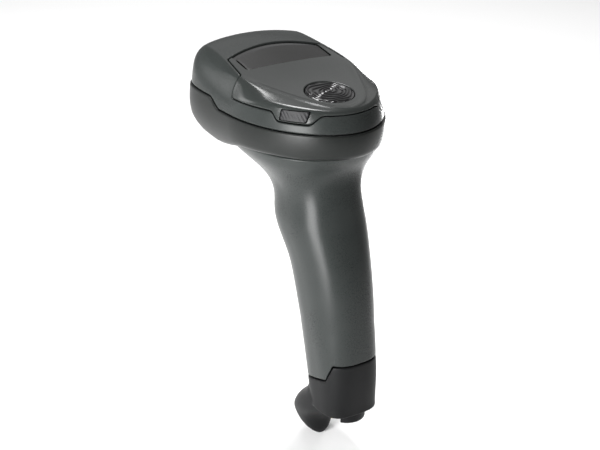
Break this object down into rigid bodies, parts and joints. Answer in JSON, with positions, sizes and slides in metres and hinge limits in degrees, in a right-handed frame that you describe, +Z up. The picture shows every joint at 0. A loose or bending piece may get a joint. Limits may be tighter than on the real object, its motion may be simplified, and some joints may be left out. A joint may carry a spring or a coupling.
{
  "type": "handheld barcode scanner",
  "caption": "Cordless pistol-grip barcode scanner: drop-shaped head with a nose window, top cover with a ridged sounder grille, trigger, and a battery door with a foot and a turning lock.",
  "frame": {"origin": "on the floor under the middle of the scanner, level with the lowest point of its foot", "axes": "+Z up along the height, -Y towards the nose and its window, X across with the mirror plane at 0"},
  "size_m": [0.0721, 0.1085, 0.1904],
  "materials": {
    "housing": "dark greenish grey satin moulding",
    "cover": "same grey, glossier",
    "band": "near-black satin moulding",
    "black": "black moulding",
    "badge": "dark plate",
    "grille": "glossy black",
    "clear": "clear frosted plastic",
    "window": "tinted scan window",
    "lens_glass": "coated lens",
    "rubber": "soft seal",
    "foam": "foam",
    "steel": "plated steel",
    "chassis": "cast frame",
    "brass": "gold plated",
    "board": "green circuit board",
    "chip": "moulded chip",
    "shield": "tin plated shield",
    "ceramic": "ceramic",
    "cell": "wrapped cell",
    "wrap": "label sleeve",
    "ribbon": "amber film",
    "lamp": "lamp body"
  },
  "bodies": {
    "scanner": {"upper_housing": "housing", "top_cover": "cover", "badge_plate": "badge", "beeper_grille": "grille", "lower_housing": "band", "window_bezel": "black", "scan_window": "window", "window_gasket": "rubber", "seam_gasket": "rubber", "grip_housing": "housing", "trigger_pin": "steel", "switch_body": "black", "switch_board": "board", "battery_cell": "cell", "battery_wrap": "wrap", "battery_plug": "ceramic", "battery_pad": "foam", "main_board": "board", "board_screws": "steel", "processor": "chip", "radio_module": "shield", "radio_aerial": "ceramic", "board_plug": "ceramic", "sounder": "chip", "indicator_lamps": "lamp", "engine_chassis": "chassis", "lens_barrel": "black", "lens": "lens_glass", "sensor_board": "board", "light_sources": "lamp", "engine_ribbon": "ribbon", "housing_screws": "steel", "led_window_left": "clear", "led_window_right": "clear"},
    "trigger_body": {"trigger": "housing"},
    "plunger_body": {"switch_plunger": "ceramic"},
    "door_body": {"battery_door": "black", "lock_washer": "rubber", "charge_contact_left": "brass", "charge_contact_right": "brass"},
    "lock_body": {"lock_knob": "black"}
  },
  "joints": [
    {"name": "trigger_pull", "type": "hinge", "parent": "scanner", "child": "trigger_body", "pos_m": [0, -0.007, 0.1439], "axis": [1, 0, 0], "range_deg": [0, 7], "stiffness_Nm_per_rad": 0.3, "springref_deg": -3.44},
    {"name": "switch_press", "type": "slide", "parent": "scanner", "child": "plunger_body", "axis": [0, 1, 0], "range_m": [0, 0.002]},
    {"name": "door_slide", "type": "slide", "parent": "scanner", "child": "door_body", "axis": [0, 0.2453, -0.9694], "range_m": [0, 0.045]},
    {"name": "lock_turn", "type": "hinge", "parent": "door_body", "child": "lock_body", "pos_m": [0, 0.0432, 0.0264], "axis": [0, 0, 1], "range_deg": [0, 90]}
  ],
  "couplings": [
    {"joint": "switch_press", "follows": "trigger_pull", "m_per_rad": 0.0155}
  ]
}
